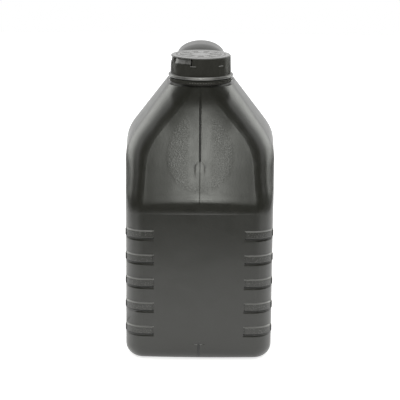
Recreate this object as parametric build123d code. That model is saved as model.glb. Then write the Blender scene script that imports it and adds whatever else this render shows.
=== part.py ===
from build123d import *
import math
import os

# Overall size of the jug
body_width = 134.0
body_length = 200.0
wall = 1.2
base_thickness = 2.0

# Lower body
lower_height = 136.0
corner_radius = 17.0
front_bow = 2.5
base_round = 12.0

# Foot recess under the base
foot_width = 17.0
foot_recess = 5.0
foot_taper = 35.0
weld_width = 2.4
weld_height = 1.2

# Grip bars round the four upright corners
bar_count = 5
bar_pitch = 22.2
bar_first = 24.6
bar_height = 8.0
bar_raise = 1.3
bar_top_slope = 0.9
bar_under_slope = 1.4
bar_reach = 8.5
bar_wrap = 0.8

# Neck and its place on the body
neck_share = 0.29
collar_radius = 26.0
collar_ledge = 0.7
neck_radius = 23.2
neck_wall = 2.0
shoulder_top = 243.5
collar_top = 245.6
rim_top = 266.5

# Shoulder above the lower body
side_draft = 1.1
side_bow = 0.5
front_fall = 58.0
mid_fall = 47.5
rear_fall = 64.0
side_round = 9.0
top_half_width = 27.8
top_front_half = 26.5
top_mid_half = 30.5
panel_bottom = 147.0
panel_top = 228.0
panel_round = 7.0
panel_ease = 46.0
panel_bow = 1.5
saddle_fall = 64.5
saddle_rise = 19.0
saddle_share = 0.592
saddle_round = 6.0
top_share = 0.394
mid_behind_neck = 12.0
section_step = 5.5

# Hollow handle
handle_half_width = 22.6
handle_half_depth = 14.0
handle_top = 267.3
handle_crest_share = 0.479
handle_root_share = 0.296
handle_root_z = 224.0
handle_bend = 24.0
handle_rear_gap = 6.0
root_round = 5.0
handle_sink = 1.0

# Screw cap, its liner and the tamper band
cap_top_thickness = 1.6
liner_thickness = 1.0
cap_radius = 26.85
cap_wall = 1.65
cap_flare = 0.5
bead_radius = 29.1
bead_height = 3.0
cap_guide_gap = 0.8
band_height = 3.6
band_slit = 0.5
band_radius = 28.2
band_gap = 0.3
retainer_radius = 25.6
retainer_height = 1.4
pocket_height = 6.2
pocket_lip = 0.9
pocket_depth = 1.5
pocket_angle = 43.0
pocket_land = 9.0
pocket_start = 19.0
pocket_count = 2

# Tied positions
half_width = body_width / 2
front_y = -body_length / 2
rear_y = body_length / 2
neck_behind_front = neck_share * body_length
neck_y = front_y + neck_behind_front
neck_to_rear = rear_y - neck_y
mid_y = neck_y + mid_behind_neck
saddle_low = shoulder_top - saddle_fall
saddle_bend = saddle_low + saddle_rise
saddle_bend_y = neck_y + saddle_share * neck_to_rear
top_rear = neck_y + top_share * neck_to_rear
handle_crest_y = neck_y + handle_crest_share * neck_to_rear
handle_root_y = neck_y + handle_root_share * neck_to_rear
handle_end_z = saddle_low - handle_sink
liner_top = rim_top + liner_thickness
cap_top = liner_top + cap_top_thickness
band_top = collar_top + band_height
cap_bottom = band_top + band_slit
retainer_low = band_top - retainer_height - band_gap


def soft(t, r):
    """Ramp that starts at zero and bends over a length r on each side."""
    if t <= -r:
        return 0.0
    if t >= r:
        return t
    return (t + r) ** 2 / (4 * r)


def side_at(z, fall, top_half):
    """Half width of the shoulder at a height, where the sides fall away from the neck."""
    start = shoulder_top - fall
    below = max(start - z, 0) / (start - lower_height)
    return half_width - side_draft * below - (half_width - top_half) / fall * soft(z - start, side_round)


def front_at(z):
    """Front face of the shoulder at a height."""
    travel = neck_behind_front - collar_radius - collar_ledge
    rise = soft(z - panel_bottom, panel_round) - soft(z - panel_top, panel_ease)
    whole = soft(shoulder_top - panel_bottom, panel_round) - soft(shoulder_top - panel_top, panel_ease)
    return front_y + travel * rise / whole


def rear_at(z):
    """Rear edge of the shoulder at a height, along the saddle under the handle."""
    low = (rear_y - saddle_bend_y) / (saddle_bend - saddle_low)
    high = (saddle_bend_y - top_rear) / (shoulder_top - saddle_bend)
    run = low * (soft(z - saddle_low, saddle_round) - soft(z - saddle_bend, saddle_round))
    return rear_y - run - high * soft(z - saddle_bend, saddle_round)


def corner_at(z):
    """Corner radius of the shoulder at a height, round at the neck."""
    share = (z - lower_height) / (shoulder_top - lower_height)
    return corner_radius + (top_half_width - side_bow - 0.5 - corner_radius) * share


def outline(front_half, mid_half, rear_half, front, rear, corner, bow):
    """Rounded outline of the jug at one height, widest a little behind the neck."""
    left_front = (-front_half, front + bow)
    right_front = (front_half, front + bow)
    right_rear = (rear_half, rear - bow)
    left_rear = (-rear_half, rear - bow)
    front_edge = ThreePointArc(left_front, (0, front), right_front)
    right_edge = ThreePointArc(right_front, (mid_half, mid_y), right_rear)
    rear_edge = ThreePointArc(right_rear, (0, rear), left_rear)
    left_edge = ThreePointArc(left_rear, (-mid_half, mid_y), left_front)
    face = make_face([front_edge, right_edge, rear_edge, left_edge])
    return fillet(face.vertices(), corner)


def shoulder_section(z, inset):
    """Outline of the shoulder at a height, or of the hollow inside it."""
    level = z + inset * (z - lower_height) / (shoulder_top - lower_height)
    front_half = side_at(level, front_fall, top_front_half) - side_bow - inset
    mid_half = side_at(level, mid_fall, top_mid_half) - inset
    rear_half = side_at(level, rear_fall, top_half_width) - side_bow - inset
    corner = corner_at(level) - inset
    flat = (rear_half - corner) / (half_width - side_draft - side_bow - corner_radius)
    swell = min((level - lower_height) / (panel_bottom + panel_round - lower_height), 1)
    bow = max((front_bow + panel_bow * swell) * flat * flat, 0.02)
    front = front_at(level) + inset
    rear = rear_at(level) - inset
    return Pos(0, 0, z) * outline(front_half, mid_half, rear_half, front, rear, corner, bow)


def shoulder(inset):
    """Shoulder from the lower body up to the neck."""
    top = shoulder_top - inset
    count = math.ceil((top - lower_height) / section_step)
    levels = [lower_height + (top - lower_height) * i / count for i in range(count + 1)]
    return loft([shoulder_section(z, inset) for z in levels])


def lower_outline(inset):
    """Outline of the lower walls, or of the hollow inside them."""
    mid = half_width - side_draft - inset
    half = mid - side_bow
    front = front_y + inset
    return outline(half, mid, half, front, -front, corner_radius - inset, front_bow)


def lower_body(inset):
    """Upright lower walls with a rounded base edge, or the hollow inside them."""
    floor = base_thickness if inset else 0.0
    block = extrude(Pos(0, 0, floor) * lower_outline(inset), lower_height - floor)
    return fillet(block.faces().sort_by(Axis.Z)[0].edges(), base_round - inset)


def foot_hollow(grow):
    """Recess under the base that leaves a foot ring, with sloping sides."""
    mid = half_width - foot_width + grow
    half = mid - side_bow
    front = front_y + foot_width - grow
    face = outline(half, mid, half, front, -front, corner_radius - foot_width / 2 + grow, front_bow)
    return extrude(face, foot_recess + grow, taper=foot_taper)


def handle(inset):
    """Arched handle tube, rooted behind the neck and at the rear of the shoulder."""
    crest = handle_top - handle_half_depth
    rear = rear_y - handle_half_depth - handle_rear_gap
    root = (0, handle_root_y, handle_root_z)
    bend = (0, handle_crest_y, crest)
    path = FilletPolyline(root, bend, (0, rear, crest), (0, rear, handle_end_z), radius=handle_bend)
    plane = Plane(origin=path @ 0, x_dir=(1, 0, 0), z_dir=path % 0)
    face = plane * Ellipse(handle_half_width - inset, handle_half_depth - inset)
    return sweep(face, path=path)


def neck():
    """Neck collar, thread cylinder and the bead that keeps the tamper band."""
    low = shoulder_top - neck_radius / 2
    collar = Pos(0, neck_y, low) * extrude(Circle(collar_radius), collar_top - low)
    tube = Pos(0, neck_y, low) * extrude(Circle(neck_radius), rim_top - low)
    tube = fillet(tube.edges().sort_by(Axis.Z)[-1], neck_wall / 4)
    bead = Pos(0, neck_y, retainer_low) * extrude(Circle(retainer_radius), retainer_height)
    bead = chamfer(bead.edges().sort_by(Axis.Z)[-1], retainer_height * 0.6)
    return collar + tube + bead


def grip_bar():
    """One grip bar, swept most of the way round the front right corner of the lower walls."""
    arcs = lower_outline(0).edges().filter_by(GeomType.CIRCLE)
    turn = arcs.sort_by(lambda e: (e @ 0.5).X - (e @ 0.5).Y)[-1]
    front, side = sorted((0, 1), key=lambda end: (turn @ end).Y)
    start = turn @ front
    middle = turn @ (front + (side - front) * bar_wrap / 2)
    finish = turn @ (front + (side - front) * bar_wrap)
    lead = Line(start - turn % front * (side - front) * bar_reach, start)
    path = lead + ThreePointArc(start, middle, finish)
    ahead = path % 0
    out = ahead.cross(Vector(0, 0, 1))
    if (turn @ 0.5).dot(out) < 0:
        out = out * -1
    plane = Plane(origin=path @ 0, x_dir=out, z_dir=ahead)
    up = 1 if plane.y_dir.Z > 0 else -1
    face = make_face(
        Polyline(
            (-wall / 2, 0),
            (0, 0),
            (bar_raise, up * bar_under_slope),
            (bar_raise, up * (bar_height - bar_top_slope)),
            (0, up * bar_height),
            (-wall / 2, up * bar_height),
            close=True,
        )
    )
    bar = sweep(plane * face, path=path)
    ends = bar.edges().filter_by(Axis.Z).sort_by(lambda e: abs(e.length - bar_height))
    return chamfer(ends[-2:], bar_raise * 0.7)


# Bottle: one blown shell with grip bars, foot ring, neck and hollow handle
bar = grip_bar()
side_bars = [Pos(0, 0, bar_first + bar_pitch * i) * bar for i in range(bar_count)]
front_bars = side_bars + [mirror(b, Plane.YZ) for b in side_bars]
bars = front_bars + [mirror(b, Plane.XZ) for b in front_bars]
body = lower_body(0) + shoulder(0) - foot_hollow(0)
arch = handle(0)
inside = lower_body(wall) + shoulder(wall) - foot_hollow(base_thickness) + handle(wall)
shell = body + arch - inside
shell = fillet(new_edges(body, arch, inside, combined=shell), root_round)
bore_low = shoulder_top - neck_radius
bore = Pos(0, neck_y, bore_low) * extrude(Circle(neck_radius - neck_wall), rim_top - bore_low + 1)
weld_length = body_length - 2 * foot_width - 4 * foot_recess
weld = Pos(0, 0, foot_recess - weld_height / 2) * Box(weld_width, weld_length, weld_height)
bottle = shell + (neck() - inside) - bore
bottle = bottle + bars
bottle = bottle + weld

# Screw cap: revolved shell with a bead at its lower edge and two pockets in its top edge
bead_top = cap_bottom + bead_height
skirt_radius = cap_radius + cap_flare
inner_radius = cap_radius - cap_wall
guide_radius = neck_radius + cap_guide_gap
lip_radius = retainer_radius + 3 * band_gap
guide_low = cap_top - pocket_height - cap_wall
edge_round = cap_top_thickness / 2
top_line = Line((0, cap_top), (cap_radius - edge_round, cap_top))
edge_line = Line(top_line @ 1, (cap_radius, cap_top - edge_round))
skirt_line = Line(edge_line @ 1, (skirt_radius, bead_top))
bead_arc = ThreePointArc(
    skirt_line @ 1, (bead_radius, cap_bottom + bead_height * 0.45), (bead_radius - bead_height * 0.35, cap_bottom)
)
inner_line = Polyline(
    bead_arc @ 1,
    (lip_radius, cap_bottom),
    (lip_radius, bead_top - cap_wall / 2),
    (inner_radius, bead_top + cap_wall / 2),
    (inner_radius, guide_low),
    (guide_radius, guide_low + cap_wall),
    (guide_radius, liner_top),
    (0, liner_top),
    (0, cap_top),
)
half_section = Plane.XZ * make_face([top_line, edge_line, skirt_line, bead_arc, *inner_line.edges()])
cap = Pos(0, neck_y, 0) * revolve(half_section, Axis.Z)
pocket_face = Plane.XZ * make_face(
    Polyline(
        (cap_radius - pocket_depth / 3, cap_top - pocket_height),
        (cap_radius - pocket_depth, cap_top - pocket_lip),
        (cap_radius + bead_height, cap_top - pocket_lip),
        (cap_radius + bead_height, cap_top - pocket_height),
        close=True,
    )
)
pocket = revolve(pocket_face, Axis.Z, revolution_arc=pocket_angle)
first_pocket = -90 - pocket_start - pocket_angle
for i in range(pocket_count):
    cap = cap - Pos(0, neck_y, 0) * Rot(0, 0, first_pocket - i * (pocket_angle + pocket_land)) * pocket

# Cap liner: soft disc between the neck rim and the cap
liner_radius = guide_radius - band_gap
liner = Pos(0, neck_y, rim_top) * extrude(Circle(liner_radius), liner_thickness)

# Tamper band: ring on the collar, its lower lip caught under the bead of the neck
lip_in = neck_radius + 3 * band_gap
band_in = retainer_radius + band_gap
band_face = Plane.XZ * make_face(
    Polyline(
        (lip_in, collar_top),
        (band_radius - band_gap, collar_top),
        (band_radius, collar_top + band_gap),
        (band_radius, band_top),
        (band_in, band_top),
        (band_in, retainer_low - band_gap),
        (lip_in, retainer_low - band_gap),
        close=True,
    )
)
band = Pos(0, neck_y, 0) * revolve(band_face, Axis.Z)

os.makedirs("parts", exist_ok=True)
export_step(bottle, "parts/bottle.step")
export_step(cap, "parts/screw_cap.step")
export_step(liner, "parts/cap_liner.step")
export_step(band, "parts/tamper_band.step")
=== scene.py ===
import math
import bpy
from mathutils import Matrix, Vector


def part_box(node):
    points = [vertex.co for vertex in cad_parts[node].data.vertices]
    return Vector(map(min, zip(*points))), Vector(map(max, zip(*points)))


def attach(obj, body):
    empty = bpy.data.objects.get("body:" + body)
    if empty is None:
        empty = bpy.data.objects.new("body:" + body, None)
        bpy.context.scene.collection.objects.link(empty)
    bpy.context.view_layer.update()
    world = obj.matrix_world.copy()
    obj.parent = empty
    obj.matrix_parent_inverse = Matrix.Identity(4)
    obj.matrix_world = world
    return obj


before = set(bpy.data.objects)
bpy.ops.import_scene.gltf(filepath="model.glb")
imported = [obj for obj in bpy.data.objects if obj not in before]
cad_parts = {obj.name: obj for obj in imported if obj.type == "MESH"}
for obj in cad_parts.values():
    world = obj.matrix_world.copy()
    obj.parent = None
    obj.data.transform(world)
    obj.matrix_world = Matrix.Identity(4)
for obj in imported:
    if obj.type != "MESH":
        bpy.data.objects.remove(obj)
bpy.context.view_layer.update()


# Jug. One blow-moulded shell of dark grey polyethylene with a sloping front
# shoulder, grip bars on its corners and a hollow handle behind the neck. The
# spark-eroded mould leaves a fine grain, and a seam where its halves close.
def feed(tree, socket, value):
    """Links a value into a socket, or sets it there."""
    if isinstance(value, bpy.types.NodeSocket):
        tree.links.new(value, socket)
    else:
        socket.default_value = value


def sum_up(tree, how, a, b=0.0):
    """One step of arithmetic between two values."""
    node = tree.nodes.new("ShaderNodeMath")
    node.operation = how
    feed(tree, node.inputs[0], a)
    feed(tree, node.inputs[1], b)
    return node.outputs[0]


def times(tree, *values):
    """Product of several values."""
    product = values[0]
    for value in values[1:]:
        product = sum_up(tree, "MULTIPLY", product, value)
    return product


def ease(tree, value, low, high, start=0.0, end=1.0):
    """Soft step of a value from low to high."""
    node = tree.nodes.new("ShaderNodeMapRange")
    node.interpolation_type = "SMOOTHSTEP"
    feed(tree, node.inputs["Value"], value)
    node.inputs["From Min"].default_value = low
    node.inputs["From Max"].default_value = high
    node.inputs["To Min"].default_value = start
    node.inputs["To Max"].default_value = end
    return node.outputs["Result"]


def fade(tree, value, low, high):
    """Soft step down, from one at low to nothing at high."""
    return ease(tree, value, low, high, 1.0, 0.0)


def between(tree, value, low, high, soft):
    """Soft mask that is one between two bounds."""
    return times(tree, ease(tree, value, low - soft, low + soft), fade(tree, value, high - soft, high + soft))


def distance(tree, a, b):
    """Length of a line that runs a one way and b square to it."""
    return sum_up(tree, "SQRT", sum_up(tree, "ADD", times(tree, a, a), times(tree, b, b)))


def speckle(tree, place, size, detail=2.0, rough=0.5):
    """Even noise whose grains are about one size across, in metres."""
    node = tree.nodes.new("ShaderNodeTexNoise")
    tree.links.new(place, node.inputs["Vector"])
    node.inputs["Scale"].default_value = 1.0 / size
    node.inputs["Detail"].default_value = detail
    node.inputs["Roughness"].default_value = rough
    return node.outputs["Fac"]


def mix_tone(tree, share, one, two):
    """Colour between two tones by a share."""
    node = tree.nodes.new("ShaderNodeMix")
    node.data_type = "RGBA"
    feed(tree, node.inputs["Factor"], share)
    feed(tree, node.inputs["A"], one)
    feed(tree, node.inputs["B"], two)
    return node.outputs["Result"]


def new_finish(name):
    """Empty material with its shader and the place on the piece."""
    finish = bpy.data.materials.new(name)
    finish.use_nodes = True
    tree = finish.node_tree
    shader = tree.nodes["Principled BSDF"]
    place = tree.nodes.new("ShaderNodeTexCoord").outputs["Object"]
    parts = tree.nodes.new("ShaderNodeSeparateXYZ")
    tree.links.new(place, parts.inputs[0])
    return finish, tree, shader, place, parts.outputs


def raised(tree, height, mask, by):
    """Height with the shape of a mask raised on it, or sunk where the amount is negative."""
    return sum_up(tree, "ADD", height, times(tree, mask, by))


def emboss(tree, shader, height, facing=None):
    """Turns a height in metres into the relief of the surface, or of one facing another way."""
    node = tree.nodes.new("ShaderNodeBump")
    if facing:
        tree.links.new(facing, node.inputs["Normal"])
    node.inputs["Strength"].default_value = 1.0
    node.inputs["Distance"].default_value = 1.0
    tree.links.new(height, node.inputs["Height"])
    tree.links.new(node.outputs["Normal"], shader.inputs["Normal"])


jug_plastic, tree, shader, place, (x, y, z) = new_finish("jug_plastic")
panel_foot, panel_top = 0.150, 0.236
off_seam = sum_up(tree, "ABSOLUTE", x)
in_front = fade(tree, y, -0.052, -0.046)
well_in_front = fade(tree, y, -0.066, -0.058)
on_panel = times(tree, in_front, between(tree, z, panel_foot, panel_top, 0.006))

# Egg-shaped patch of coarse grain on the panel, parted by a smooth strip down its middle
patch_z, patch_above, patch_below, patch_half = 0.184, 0.038, 0.030, 0.0297
above = sum_up(tree, "DIVIDE", sum_up(tree, "SUBTRACT", z, patch_z), patch_above)
below = sum_up(tree, "DIVIDE", sum_up(tree, "SUBTRACT", patch_z, z), patch_below)
tall = sum_up(tree, "POWER", sum_up(tree, "MAXIMUM", above, below), 2.0)
wide = sum_up(tree, "POWER", sum_up(tree, "DIVIDE", off_seam, patch_half), 2.0)
patch = times(tree, fade(tree, sum_up(tree, "ADD", tall, wide), 0.70, 1.15), in_front)
strip = times(tree, on_panel, fade(tree, off_seam, 0.005, 0.014), ease(tree, z, 0.152, 0.172))

# Grip bars: coarse faces, painted shade under the foot and at the outer end, a painted highlight along the
# brow, and a shallow groove below
bar_pitch, bar_count, first_bar = 0.0222, 5, 0.0246
last_bar = first_bar + (bar_count - 1) * bar_pitch
bar_rise = sum_up(tree, "MODULO", sum_up(tree, "SUBTRACT", z, first_bar - bar_pitch), bar_pitch)
bar_reach = times(
    tree, ease(tree, off_seam, 0.0398, 0.0403), ease(tree, sum_up(tree, "ABSOLUTE", y), 0.0855, 0.0862)
)
bar_face = times(
    tree,
    between(tree, bar_rise, 0.0016, 0.0068, 0.0003),
    between(tree, z, first_bar, last_bar + 0.0081, 0.0003),
    bar_reach,
)
bar_foot = times(
    tree,
    between(tree, bar_rise, 0.0000, 0.0013, 0.0002),
    between(tree, z, first_bar - 0.0002, last_bar + 0.0026, 0.0002),
    bar_reach,
)
bar_end = times(
    tree,
    between(tree, bar_rise, 0.0002, 0.0078, 0.0002),
    between(tree, z, first_bar - 0.0002, last_bar + 0.0086, 0.0002),
    between(tree, off_seam, 0.0642, 0.0654, 0.0002),
    bar_reach,
)
bar_shade = sum_up(tree, "MAXIMUM", bar_foot, bar_end)
# Painted highlight along the top edge of each bar
brow_highlight = times(
    tree,
    between(tree, bar_rise, 0.0069, 0.0080, 0.0002),
    between(tree, z, first_bar + 0.0054, last_bar + 0.0091, 0.0002),
    bar_reach,
)
under_bar = times(
    tree,
    ease(tree, bar_rise, bar_pitch - 0.0022, bar_pitch),
    between(tree, z, first_bar - 0.0026, last_bar, 0.0001),
    bar_reach,
)

# Grain and slow swell of the wall, and the arched lower edge of the panel
grain = speckle(tree, place, 0.0013, 3.0, 0.6)
swell = speckle(tree, place, 0.030, 1.0)
coarse = sum_up(tree, "MAXIMUM", sum_up(tree, "SUBTRACT", patch, strip), bar_face)
height = times(tree, grain, ease(tree, coarse, 0.0, 1.0, 0.00004, 0.00017))
height = raised(tree, height, swell, 0.0004)
height = raised(tree, height, under_bar, -0.0004)
sag = 1.3
sagged = sum_up(tree, "ADD", z, times(tree, x, x, sag))
brink = times(
    tree,
    ease(tree, sagged, 0.1460, 0.1540),
    fade(tree, off_seam, 0.045, 0.064),
    fade(tree, y, -0.085, -0.020),
)
height = raised(tree, height, brink, -0.0006)

# Seam, with a groove down the panel and the pinched weld at the foot
weld_top, weld_edge = 0.0166, 0.0158
groove = times(
    tree,
    fade(tree, off_seam, 0.0004, 0.0010),
    ease(tree, z, 0.1799, 0.1811),
    ease(tree, z, 0.212, 0.240, 0.80, 0.10),
    on_panel,
)
pinch = times(tree, fade(tree, off_seam, 0.0005, 0.0011), fade(tree, z, weld_edge, weld_top))
weld_dent = times(tree, fade(tree, off_seam, 0.0030, 0.0068), between(tree, z, weld_edge, weld_top, 0.0005))
cut = sum_up(tree, "MAXIMUM", groove, pinch)
flash = times(
    tree,
    fade(tree, off_seam, 0.0001, 0.0005),
    sum_up(tree, "MAXIMUM", ease(tree, z, 0.140, 0.150), ease(tree, y, -0.05, -0.04)),
)
height = raised(tree, height, cut, -0.0007)
height = raised(tree, height, weld_dent, -0.0004)
height = raised(tree, height, flash, 0.00015)

# Shallow arched boss at the foot of the groove, a sink mark on either side of it, and a short painted highlight
# line at the lower edge of the panel
boss_z = 0.1758
over_boss = sum_up(tree, "MAXIMUM", sum_up(tree, "SUBTRACT", z, boss_z), 0.0)
boss = times(
    tree,
    fade(tree, distance(tree, x, over_boss), 0.0030, 0.0052),
    ease(tree, z, 0.165, 0.175),
    on_panel,
)
sink = times(
    tree,
    between(tree, off_seam, 0.0046, 0.0055, 0.0003),
    between(tree, z, 0.1750, 0.1808, 0.0008),
    on_panel,
)
# Painted highlight: a short pale line at the lower edge of the panel
highlight_line = times(
    tree, between(tree, z, 0.1497, 0.1502, 0.0003), fade(tree, off_seam, 0.0100, 0.0115), well_in_front
)
height = raised(tree, height, boss, 0.00015)

# Dark grey, with painted highlights on the grain peaks, the bar brows, the panel line and the boss, and painted
# shade under the bars, in the seam groove, the weld and the sinks
new_grey, faded_grey = (0.0305, 0.0306, 0.0246, 1.0), (0.0370, 0.0371, 0.0308, 1.0)
glint_grey, highlight_grey = (0.120, 0.120, 0.112, 1.0), (0.220, 0.219, 0.208, 1.0)
shade_black, groove_shade_black = (0.004, 0.004, 0.003, 1.0), (0.004, 0.004, 0.004, 1.0)
scuff = speckle(tree, place, 0.012, 4.0, 0.7)
# Painted highlight: the peaks of the coarse grain are drawn paler, as glints
grain_glints = times(tree, ease(tree, grain, 0.52, 0.66, 0.0, 0.8), coarse)
jug_highlights = sum_up(tree, "MAXIMUM", brow_highlight, times(tree, highlight_line, 0.5))
dent_shade = sum_up(tree, "MAXIMUM", times(tree, weld_dent, 0.7), sink)
tone = mix_tone(tree, scuff, new_grey, faded_grey)
tone = mix_tone(tree, grain_glints, tone, glint_grey)
# Painted shade: a near-black line under the foot and at the outer end of each bar
tone = mix_tone(tree, bar_shade, tone, shade_black)
# Painted highlights on the bar brows and the panel line
tone = mix_tone(tree, jug_highlights, tone, highlight_grey)
# Painted highlight: the boss is drawn paler
tone = mix_tone(tree, times(tree, boss, 0.30), tone, highlight_grey)
# Painted shade: the seam groove, the weld at the foot, the dent above it and the sink marks are drawn
# near-black
tone = mix_tone(tree, sum_up(tree, "MAXIMUM", cut, dent_shade), tone, groove_shade_black)
tree.links.new(tone, shader.inputs["Base Color"])
rough = sum_up(tree, "ADD", ease(tree, scuff, 0.3, 0.7, 0.28, 0.33), times(tree, bar_shade, 0.5))
tree.links.new(rough, shader.inputs["Roughness"])
shader.inputs["IOR"].default_value = 1.54
shader.inputs["Specular IOR Level"].default_value = 0.66

# Soft transitions of the blown wall, drawn by turned shading normals where the solid is straighter: the root of
# the neck is shaded upright, the top of the panel round, and the front corners turn gently to the sides
normal = tree.nodes.new("ShaderNodeSeparateXYZ")
tree.links.new(tree.nodes.new("ShaderNodeNewGeometry").outputs["Normal"], normal.inputs[0])
sideways, backwards, upwards = normal.outputs
off_front = sum_up(tree, "ABSOLUTE", sideways)
upright = times(
    tree,
    ease(tree, z, 0.219, 0.240),
    fade(tree, z, 0.2440, 0.2450),
    fade(tree, off_seam, 0.0225, 0.0310),
    fade(tree, y, -0.050, -0.035),
)
roundness = times(tree, ease(tree, z, 0.200, 0.224), fade(tree, off_seam, 0.024, 0.034), well_in_front, 3.5)
corner_turn = times(
    tree,
    ease(tree, z, 0.140, 0.170, 0.40, 1.0),
    ease(tree, z, 0.170, 0.205, 1.0, 0.55),
    ease(tree, off_front, 0.08, 0.30, 0.30, 0.80),
    ease(tree, off_front, 0.65, 0.95, 1.0, 0.2),
    fade(tree, y, -0.050, -0.020),
)
corner = times(tree, sideways, sum_up(tree, "ADD", corner_turn, 1.0))
softened = tree.nodes.new("ShaderNodeCombineXYZ")
tree.links.new(sum_up(tree, "ADD", corner, times(tree, x, roundness)), softened.inputs[0])
tree.links.new(backwards, softened.inputs[1])
tree.links.new(times(tree, upwards, ease(tree, upright, 0.0, 1.0, 1.0, 0.35)), softened.inputs[2])
facing = tree.nodes.new("ShaderNodeVectorMath")
facing.operation = "NORMALIZE"
tree.links.new(softened.outputs[0], facing.inputs[0])
emboss(tree, shader, height, facing.outputs[0])

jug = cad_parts["bottle"]
jug.data.materials.clear()
jug.data.materials.append(jug_plastic)


# Neck thread. A single right-hand ridge blown on the neck of the shell, two
# turns with a 5 mm lead, hidden under the cap until that is unscrewed.
cap_low, cap_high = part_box("screw_cap")
neck_y = round((cap_low.y + cap_high.y) / 2, 4)
thread_lead = 0.0050


def choose(piece, test, kind="FACE"):
    """Selects the faces, edges or points of a piece that pass a test on their place."""
    bpy.ops.mesh.select_all(action="DESELECT")
    bpy.ops.mesh.select_mode(type=kind)
    bpy.ops.object.mode_set(mode="OBJECT")
    points = piece.data.vertices
    if kind == "VERT":
        for point in points:
            point.select = test(point.co)
    if kind == "EDGE":
        for edge in piece.data.edges:
            edge.select = all(test(points[i].co) for i in edge.vertices)
    if kind == "FACE":
        for face in piece.data.polygons:
            face.select = test(face.center)
    bpy.ops.object.mode_set(mode="EDIT")


def wind(name, root, tip, inside, outside, low, turns, lead):
    """Thread ridge from its root radius to its tip, with the widths of its inner and outer side."""
    bpy.ops.object.select_all(action="DESELECT")
    bpy.ops.mesh.primitive_plane_add(size=1.0, rotation=(math.radians(90.0), 0.0, 0.0))
    ridge = bpy.context.object
    ridge.name = name
    bpy.ops.object.transform_apply(rotation=True)
    bpy.ops.object.mode_set(mode="EDIT")
    bpy.ops.mesh.select_all(action="SELECT")
    bpy.ops.transform.resize(value=(tip - root, 1.0, 1.0))
    middle = (root + tip) / 2
    bpy.ops.transform.translate(value=(middle, 0.0, 0.0))
    choose(ridge, lambda at: at.x < middle, "EDGE")
    bpy.ops.transform.resize(value=(1.0, 1.0, inside))
    choose(ridge, lambda at: at.x > middle, "EDGE")
    bpy.ops.transform.resize(value=(1.0, 1.0, outside))
    bpy.ops.mesh.select_all(action="SELECT")
    bpy.ops.transform.translate(value=(0.0, 0.0, low))
    bpy.ops.mesh.delete(type="ONLY_FACE")
    bpy.ops.object.mode_set(mode="OBJECT")
    turn = ridge.modifiers.new("turn", "SCREW")
    turn.axis = "Z"
    turn.angle = 2 * math.pi
    turn.screw_offset = lead
    turn.iterations = turns
    turn.steps = 96
    turn.render_steps = 96
    turn.use_smooth_shade = True
    bpy.ops.object.modifier_apply(modifier="turn")
    bpy.ops.object.mode_set(mode="EDIT")
    bpy.ops.mesh.select_all(action="SELECT")
    bpy.ops.mesh.remove_doubles(threshold=1e-6)
    half_width = max(inside, outside) / 2 + 1e-5
    high = low + turns * lead

    def at_an_end(at):
        return abs(at.y) < 1e-6 and at.x > 0 and min(abs(at.z - low), abs(at.z - high)) < half_width

    choose(ridge, at_an_end, "VERT")
    bpy.ops.transform.translate(value=(root - tip, 0.0, 0.0))
    bpy.ops.mesh.select_all(action="SELECT")
    bpy.ops.mesh.fill_holes(sides=6)
    bpy.ops.mesh.select_all(action="SELECT")
    bpy.ops.mesh.normals_make_consistent(inside=False)
    bpy.ops.transform.translate(value=(0.0, neck_y, 0.0))
    bpy.ops.object.mode_set(mode="OBJECT")
    bpy.ops.object.shade_smooth_by_angle(angle=math.radians(40.0))
    return ridge


neck_thread = wind(
    "neck_thread", root=0.0229, tip=0.0245, inside=0.0026, outside=0.0012, low=0.2512, turns=2, lead=thread_lead
)
neck_thread.data.materials.append(jug_plastic)
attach(neck_thread, "bottle")


# Collar pip. A small stop moulded on the neck just under the tamper band, which
# catches the band's teeth so that it can't be wound back on.
pip_size, pip_radius, pip_z, pip_turn = 0.0018, 0.0262, 0.2441, math.radians(20.5)
bpy.ops.object.select_all(action="DESELECT")
bpy.ops.mesh.primitive_cube_add(size=pip_size)
pip = bpy.context.object
pip.name = "collar_pip"
bpy.ops.object.mode_set(mode="EDIT")
choose(pip, lambda at: at.y < -0.0008, "FACE")
bpy.ops.transform.resize(value=(0.5, 1.0, 0.6))
bpy.ops.mesh.select_all(action="SELECT")
bpy.ops.mesh.bevel(offset=0.0003, segments=3, affect="EDGES")
bpy.ops.object.mode_set(mode="OBJECT")
pip.rotation_euler = (0.0, 0.0, pip_turn)
pip.location = (pip_radius * math.sin(pip_turn), neck_y - pip_radius * math.cos(pip_turn), pip_z)
bpy.ops.object.transform_apply(location=True, rotation=True)
bpy.ops.object.shade_smooth_by_angle(angle=math.radians(40.0))
pip.data.materials.append(jug_plastic)
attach(pip, "bottle")


# Tamper band. A thin black polypropylene ring left on the collar, moulded in
# one with the cap and joined to it by small bridges that tear on first opening.
cap_plastic, tree, shader, place, (x, y, z) = new_finish("cap_plastic")
cap_top = cap_high.z
behind = sum_up(tree, "SUBTRACT", y, neck_y)
radius = distance(tree, x, behind)
turned = sum_up(tree, "ARCTAN2", x, times(tree, behind, -1.0))
off_middle = sum_up(tree, "ABSOLUTE", turned)

# Top of the cap, with a sunk ring and plain raised blocks round the middle
block_count, block_height, ring_depth = 9.0, 0.0004, 0.0004
on_top = ease(tree, z, cap_top - 0.0004, cap_top - 0.0001)
ring = between(tree, radius, 0.0212, 0.0222, 0.0003)
around = sum_up(tree, "SINE", times(tree, sum_up(tree, "ARCTAN2", behind, x), block_count))
blocks = times(tree, ease(tree, around, -0.25, 0.15), between(tree, radius, 0.0095, 0.0178, 0.0004))
relief = sum_up(tree, "SUBTRACT", times(tree, blocks, block_height), times(tree, ring, ring_depth))
gaps = sum_up(tree, "SUBTRACT", between(tree, radius, 0.0085, 0.0188, 0.0003), blocks)
dull = times(tree, sum_up(tree, "MAXIMUM", gaps, ring), on_top)
grain = speckle(tree, place, 0.0009, 2.0)
height = sum_up(tree, "ADD", times(tree, grain, 0.00001), times(tree, relief, on_top))
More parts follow.
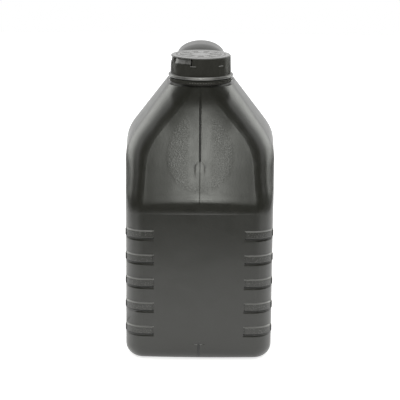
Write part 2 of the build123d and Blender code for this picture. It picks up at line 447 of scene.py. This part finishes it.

# Sloping floor of the front pocket with painted shade on the step at its end, and painted highlights on the
# pocket floor, the front of the bead, the stubs of the torn bridges and the ledges
pocket_floor, pocket_top, pocket_slope = 0.2636, cap_top - 0.0005, 0.30
ledge_z = 0.2618
pocket = times(
    tree,
    between(tree, z, pocket_floor, pocket_top, 0.0002),
    between(tree, radius, 0.02525, 0.0275, 0.0001),
    between(tree, turned, -1.08, -0.35, 0.01),
)
slope = times(tree, sum_up(tree, "SUBTRACT", z, pocket_floor), pocket_slope)
height = sum_up(tree, "SUBTRACT", height, times(tree, pocket, slope))
# Painted shade on the end wall of the pocket
step = times(
    tree, between(tree, turned, -0.335, -0.285, 0.004), between(tree, z, 0.2626, pocket_top, 0.0003)
)
# Painted highlight masks: the front of the bead, the front stubs and the ledge rims
bead = times(
    tree,
    between(tree, z, 0.2502, 0.2526, 0.0004),
    ease(tree, radius, 0.0274, 0.0278),
    ease(tree, off_middle, 0.10, 0.60, 1.0, 0.15),
)
stubs = times(
    tree,
    fade(tree, z, 0.2482, 0.2485),
    ease(tree, radius, 0.0283, 0.0284),
    fade(tree, off_middle, 0.25, 0.50),
)
rims = times(
    tree, between(tree, z, ledge_z - 0.0006, ledge_z + 0.0006, 0.0001), ease(tree, radius, 0.0271, 0.0272)
)
cap_highlights = sum_up(tree, "MAXIMUM", times(tree, pocket, 0.25), bead)
cap_highlights = sum_up(tree, "MAXIMUM", cap_highlights, times(tree, sum_up(tree, "MAXIMUM", stubs, rims), 0.9))

new_black, faded_black = (0.0560, 0.0552, 0.0476, 1.0), (0.0670, 0.0660, 0.0584, 1.0)
cap_highlight_grey, top_highlight_grey = (0.420, 0.416, 0.400, 1.0), (0.220, 0.219, 0.210, 1.0)
step_shade_black = (0.006, 0.006, 0.005, 1.0)
scuff = speckle(tree, place, 0.008, 4.0, 0.7)
tone = mix_tone(tree, scuff, new_black, faded_black)
# Painted highlights on the pocket floor, bead, stubs and ledges
tone = mix_tone(tree, cap_highlights, tone, cap_highlight_grey)
# Painted light: the top of the cap is drawn paler than its side
tone = mix_tone(tree, times(tree, on_top, 0.5), tone, top_highlight_grey)
# Painted shade: the pocket's end step is drawn near-black
tone = mix_tone(tree, step, tone, step_shade_black)
tree.links.new(tone, shader.inputs["Base Color"])
rough = sum_up(tree, "ADD", ease(tree, scuff, 0.3, 0.7, 0.17, 0.24), times(tree, dull, 0.25))
tree.links.new(rough, shader.inputs["Roughness"])
shader.inputs["IOR"].default_value = 1.50
shader.inputs["Specular IOR Level"].default_value = 0.75
emboss(tree, shader, height)
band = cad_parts["tamper_band"]
band.data.materials.clear()
band.data.materials.append(cap_plastic)

tooth_count, tooth_radius, tooth_z = 74, 0.0281, 0.2474
bpy.ops.object.select_all(action="DESELECT")
bpy.ops.mesh.primitive_cube_add(size=0.001)
teeth = bpy.context.object
teeth.name = "band_teeth"
bpy.ops.object.mode_set(mode="EDIT")
bpy.ops.mesh.select_all(action="SELECT")
bpy.ops.transform.resize(value=(1.15, 0.9, 1.1))
choose(teeth, lambda at: at.y < -0.0004, "FACE")
bpy.ops.transform.resize(value=(0.55, 1.0, 0.45))
bpy.ops.mesh.select_all(action="SELECT")
bpy.ops.transform.translate(value=(0.0, -tooth_radius, tooth_z))
bpy.ops.mesh.spin(
    steps=tooth_count, dupli=True, angle=2 * math.pi, center=(0.0, 0.0, 0.0), axis=(0.0, 0.0, 1.0)
)
bpy.ops.mesh.select_all(action="SELECT")
bpy.ops.mesh.remove_doubles(threshold=1e-6)
bpy.ops.mesh.normals_make_consistent(inside=False)
bpy.ops.mesh.select_all(action="SELECT")
bpy.ops.transform.translate(value=(0.0, neck_y, 0.0))
bpy.ops.object.mode_set(mode="OBJECT")
bpy.ops.object.shade_smooth_by_angle(angle=math.radians(30.0))
teeth.data.materials.append(cap_plastic)
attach(teeth, "bottle")


# Liner. A disc of off-white foamed polyethylene pressed into the cap, which
# seals on the rim of the neck.
liner_foam, tree, shader, place, (x, y, z) = new_finish("liner_foam")
cells = speckle(tree, place, 0.0006, 3.0)
tone = mix_tone(tree, cells, (0.72, 0.71, 0.66, 1.0), (0.82, 0.81, 0.77, 1.0))
tree.links.new(tone, shader.inputs["Base Color"])
shader.inputs["Roughness"].default_value = 0.7
emboss(tree, shader, times(tree, cells, 0.00008))
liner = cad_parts["cap_liner"]
liner.data.materials.clear()
liner.data.materials.append(liner_foam)


# Screw cap. Injection-moulded black polypropylene with a bead at its lower edge
# and two pockets in its top edge; a thread inside takes the ridge of the neck,
# and two short ledges stand on its side where the mould parts.
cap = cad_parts["screw_cap"]
cap.data.materials.clear()
cap.data.materials.append(cap_plastic)

cap_thread = wind(
    "cap_thread", root=0.0254, tip=0.0239, inside=0.0010, outside=0.0022, low=0.2537, turns=1, lead=thread_lead
)
cap_thread.data.materials.append(cap_plastic)
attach(cap_thread, "cap")

ledge_radius = 0.0270
for ledge_name, ledge_at in (("ledge_left", -14.5), ("ledge_right", 41.0)):
    bpy.ops.object.select_all(action="DESELECT")
    bpy.ops.mesh.primitive_cube_add(size=0.001)
    ledge = bpy.context.object
    ledge.name = ledge_name
    bpy.ops.object.mode_set(mode="EDIT")
    bpy.ops.mesh.select_all(action="SELECT")
    bpy.ops.transform.resize(value=(5.4, 0.8, 0.7))
    choose(ledge, lambda at: at.y < -0.0003, "FACE")
    bpy.ops.transform.resize(value=(0.9, 1.0, 0.5))
    bpy.ops.mesh.select_all(action="SELECT")
    bpy.ops.mesh.bevel(offset=0.00012, segments=2, affect="EDGES")
    bpy.ops.object.mode_set(mode="OBJECT")
    ledge_turn = math.radians(ledge_at)
    ledge.rotation_euler = (0.0, 0.0, ledge_turn)
    ledge_x, ledge_y = ledge_radius * math.sin(ledge_turn), neck_y - ledge_radius * math.cos(ledge_turn)
    ledge.location = (ledge_x, ledge_y, ledge_z)
    bpy.ops.object.transform_apply(location=True, rotation=True)
    bpy.ops.object.shade_smooth_by_angle(angle=math.radians(40.0))
    ledge.data.materials.append(cap_plastic)
    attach(ledge, "cap")


# Studio. A pale table that ends a little in front of the jug, dark cloths hung
# round the camera's side, two soft boxes above the camera, one box behind on
# either side, and white surroundings.
table_wide, table_long, table_y = 1.3, 2.46, 0.77
bpy.ops.object.select_all(action="DESELECT")
bpy.ops.mesh.primitive_plane_add(size=1.0, location=(0.0, 0.0, 0.0))
table = bpy.context.object
table.name = "studio_table"
bpy.ops.object.mode_set(mode="EDIT")
bpy.ops.mesh.select_all(action="SELECT")
bpy.ops.transform.resize(value=(table_wide, table_long, 1.0))
bpy.ops.transform.translate(value=(0.0, table_y, 0.0))
bpy.ops.object.mode_set(mode="OBJECT")


def shown_rays(tree):
    """One where the surface or the world is seen or mirrored, nothing where it only lights."""
    rays = tree.nodes.new("ShaderNodeLightPath").outputs
    seen = sum_up(tree, "MAXIMUM", rays["Is Camera Ray"], rays["Is Glossy Ray"])
    return sum_up(tree, "MAXIMUM", seen, rays["Is Transmission Ray"])


table_white, tree, shader, place, (x, y, z) = new_finish("table_white")
shader.inputs["Base Color"].default_value = (0.80, 0.80, 0.80, 1.0)
shader.inputs["Roughness"].default_value = 0.9
shader.inputs["Specular IOR Level"].default_value = 0.0
shader.inputs["Emission Color"].default_value = (1.0, 1.0, 1.0, 1.0)
tree.links.new(times(tree, shown_rays(tree), 0.74), shader.inputs["Emission Strength"])
table.data.materials.append(table_white)

screen_radius = 1.5
screen_cloth, tree, shader, place, (x, y, z) = new_finish("screen_cloth")
shader.inputs["Base Color"].default_value = (0.02, 0.02, 0.02, 1.0)
shader.inputs["Roughness"].default_value = 1.0
shader.inputs["Specular IOR Level"].default_value = 0.0


def hang(name, low, high, back):
    """Dark cloth hung from high to low in a bend round the jug, from the front to back."""
    bpy.ops.object.select_all(action="DESELECT")
    bpy.ops.mesh.primitive_cylinder_add(
        vertices=96, radius=screen_radius, depth=high - low, end_fill_type="NOTHING"
    )
    cloth = bpy.context.object
    cloth.name = name
    bpy.ops.object.mode_set(mode="EDIT")
    bpy.ops.mesh.select_all(action="SELECT")
    bpy.ops.transform.translate(value=(0.0, 0.0, (low + high) / 2))
    bpy.ops.mesh.bisect(plane_co=(0.0, back, 0.0), plane_no=(0.0, 1.0, 0.0), clear_outer=True)
    bpy.ops.object.mode_set(mode="OBJECT")
    cloth.data.materials.append(screen_cloth)
    cloth.visible_camera = False


hang("low_screen", low=-0.6, high=0.11, back=1.30)
hang("studio_screen", low=0.11, high=0.50, back=0.55)
hang("front_screen", low=0.50, high=1.44, back=-0.46)

aim_z = 0.18


def shine(name, wide, tall, power, turn, rise, away):
    """Soft box that faces the jug, turned from its front and raised by angles in degrees."""
    lamp = bpy.data.lights.new(name, "AREA")
    lamp.shape = "RECTANGLE"
    lamp.size = wide
    lamp.size_y = tall
    lamp.energy = power
    lamp.color = (0.98, 1.0, 0.94)
    box = bpy.data.objects.new(name, lamp)
    bpy.context.collection.objects.link(box)
    turn = math.radians(turn)
    rise = math.radians(rise)
    flat = away * math.cos(rise)
    box.location = (flat * math.sin(turn), -flat * math.cos(turn), aim_z + away * math.sin(rise))
    box.rotation_euler = (math.radians(90.0) - rise, 0.0, turn)


shine("front_box", wide=0.22, tall=0.52, power=3.0, turn=1.2, rise=34.5, away=1.40)
shine("strip_box", wide=0.07, tall=0.26, power=1.15, turn=0.6, rise=18.5, away=1.40)
shine("left_box", wide=0.85, tall=0.70, power=3.4, turn=-122.0, rise=13.0, away=1.30)
shine("right_box", wide=0.85, tall=0.70, power=3.4, turn=122.0, rise=13.0, away=1.30)

world = bpy.data.worlds.new("studio")
world.use_nodes = True
bpy.context.scene.world = world
tree = world.node_tree
surroundings = tree.nodes["Background"]
surroundings.inputs["Color"].default_value = (1.0, 1.0, 1.0, 1.0)
tree.links.new(ease(tree, shown_rays(tree), 0.0, 1.0, 0.95, 1.0), surroundings.inputs["Strength"])


# Camera. A long lens on a stand in front of the narrow end, above the cap,
# looking down on the jug and leaning by half a degree.
camera_place, look_down, lean = (0.0003, -1.371, 0.473), 14.277, 0.5
lens = bpy.data.cameras.new("camera")
lens.lens = 135.0
lens.sensor_width = 36.0
lens.clip_start = 0.05
lens.clip_end = 20.0
camera = bpy.data.objects.new("camera", lens)
bpy.context.collection.objects.link(camera)
tilt = Matrix.Rotation(math.radians(90.0 - look_down), 4, "X")
roll = Matrix.Rotation(math.radians(lean), 4, "Z")
camera.matrix_world = Matrix.Translation(camera_place) @ tilt @ roll
bpy.context.scene.camera = camera
bpy.context.scene.view_settings.view_transform = "Standard"
